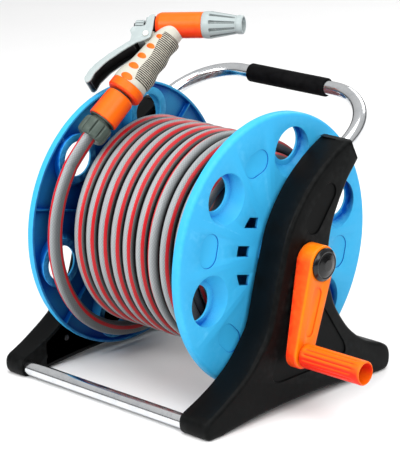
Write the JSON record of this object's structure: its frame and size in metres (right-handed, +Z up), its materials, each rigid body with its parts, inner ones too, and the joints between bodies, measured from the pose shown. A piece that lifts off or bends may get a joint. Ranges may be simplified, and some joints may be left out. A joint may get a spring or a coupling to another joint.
{
  "type": "garden hose reel",
  "caption": "Portable garden hose reel: cranked blue drum of hose on two black side frames with a carrying handle, and a trigger spray gun on the hose end.",
  "frame": {"origin": "on the floor under the middle of the bounding box; the middle of the axle is at X -0.0384, Z 0.16", "axes": "+X along the axle towards the crank, -Y towards the front bar, +Z up"},
  "size_m": [0.4433, 0.3123, 0.3946],
  "materials": {
    "frame_black": "moulded, fine satin grain",
    "cap_black": "glossy moulded",
    "acetal_white": "smooth machined plastic",
    "steel": "zinc plated",
    "polished_tube": "polished tube",
    "foam_grip": "closed cell foam",
    "nut_grey": "moulded, satin",
    "seal_rubber": "smooth rubber",
    "hose_grey": "reinforced hose, grey with lengthwise red stripes",
    "flange_blue": "moulded, semi gloss",
    "crank_orange": "moulded, semi gloss",
    "crank_grip_orange": "moulded, fluted",
    "gun_orange": "moulded, semi gloss",
    "gun_grey": "moulded, semi gloss",
    "insert_rubber": "soft insert with fine ribs",
    "gland_black": "moulded, satin"
  },
  "bodies": {
    "stand": {"right_side_frame": "frame_black", "left_side_frame": "frame_black", "right_inner_cover": "frame_black", "left_inner_cover": "frame_black", "right_bearing_bush": "acetal_white", "left_bearing_bush": "acetal_white", "right_cover_screw_1": "steel", "right_cover_screw_2": "steel", "right_cover_screw_3": "steel", "left_cover_screw_1": "steel", "left_cover_screw_2": "steel", "left_cover_screw_3": "steel", "right_handle_screw": "steel", "left_handle_screw": "steel", "front_bar": "polished_tube", "rear_bar": "polished_tube", "handle_tube": "polished_tube", "handle_grip": "foam_grip", "inlet_adaptor": "nut_grey", "inlet_seal": "seal_rubber", "lower_inlet_screw": "steel", "upper_inlet_screw": "steel", "hose_lead": "hose_grey", "hose_nut": "nut_grey", "connector_body": "nut_grey", "connector_seal": "seal_rubber", "connector_jaws": "nut_grey"},
    "reel": {"right_flange": "flange_blue", "left_flange": "flange_blue", "drum_barrel": "flange_blue", "hose_coil": "hose_grey", "drive_axle": "acetal_white", "hollow_axle": "acetal_white", "drum_elbow": "nut_grey", "inner_hose_nut": "nut_grey", "inner_hose": "hose_grey", "crank_arm": "crank_orange", "crank_screw": "steel", "crank_cap": "cap_black", "crank_pin": "steel"},
    "crank_handle": {"crank_grip": "crank_grip_orange"},
    "collar": {"connector_collar": "gun_orange"},
    "gun": {"gun_plug": "nut_grey", "grip_ring": "gun_orange", "gun_grip": "gun_grey", "grip_insert": "insert_rubber", "gun_barrel": "gun_orange", "packing_gland": "gland_black", "stem_seal": "seal_rubber", "valve_spring": "steel", "trigger_pin": "steel"},
    "trigger": {"trigger": "gun_grey"},
    "valve": {"valve_stem": "steel"},
    "knob": {"flow_knob": "gun_grey"},
    "nozzle_carrier": {"nozzle_seal": "seal_rubber"},
    "nozzle": {"nozzle": "gun_grey"}
  },
  "joints": [
    {"name": "reel_spin", "type": "hinge", "parent": "stand", "child": "reel", "pos_m": [-0.0384, 0, 0.16], "axis": [1, 0, 0], "continuous": true},
    {"name": "crank_grip_spin", "type": "hinge", "parent": "reel", "child": "crank_handle", "pos_m": [0.1816, -0.02804, 0.06714], "axis": [1, 0, 0], "continuous": true},
    {"name": "collar_pull", "type": "slide", "parent": "stand", "child": "collar", "axis": [-0.1485, -0.7161, -0.6821], "range_m": [0, 0.0035], "stiffness_N_per_m": 400},
    {"name": "gun_swivel", "type": "hinge", "parent": "stand", "child": "gun", "pos_m": [-0.113, -0.0804, 0.2769], "axis": [0.1485, 0.7161, 0.6821], "range_deg": [0, 120]},
    {"name": "trigger_squeeze", "type": "hinge", "parent": "gun", "child": "trigger", "pos_m": [-0.11228, 0.00165, 0.36244], "axis": [0.2988, -0.69, 0.6593], "range_deg": [0, 8], "stiffness_Nm_per_rad": 1, "springref_deg": -11.46},
    {"name": "valve_pull", "type": "slide", "parent": "gun", "child": "valve", "axis": [-0.8906, -0.4497, -0.067], "range_m": [0, 0.0026], "deforming": ["valve_spring"]},
    {"name": "knob_twist", "type": "hinge", "parent": "valve", "child": "knob", "pos_m": [-0.09117, 0.02486, 0.37716], "axis": [0.8906, 0.4497, 0.067], "range_deg": [0, 270]},
    {"name": "nozzle_advance", "type": "slide", "parent": "gun", "child": "nozzle_carrier", "axis": [0.8906, 0.4497, 0.067], "range_m": [0, 0.0023]},
    {"name": "nozzle_twist", "type": "hinge", "parent": "nozzle_carrier", "child": "nozzle", "pos_m": [-0.09117, 0.02486, 0.37716], "axis": [0.8906, 0.4497, 0.067], "range_deg": [0, 270]}
  ],
  "couplings": [
    {"joint": "valve_pull", "follows": "trigger_squeeze", "m_per_rad": 0.0169},
    {"joint": "nozzle_advance", "follows": "nozzle_twist", "m_per_rad": 0.000477}
  ]
}
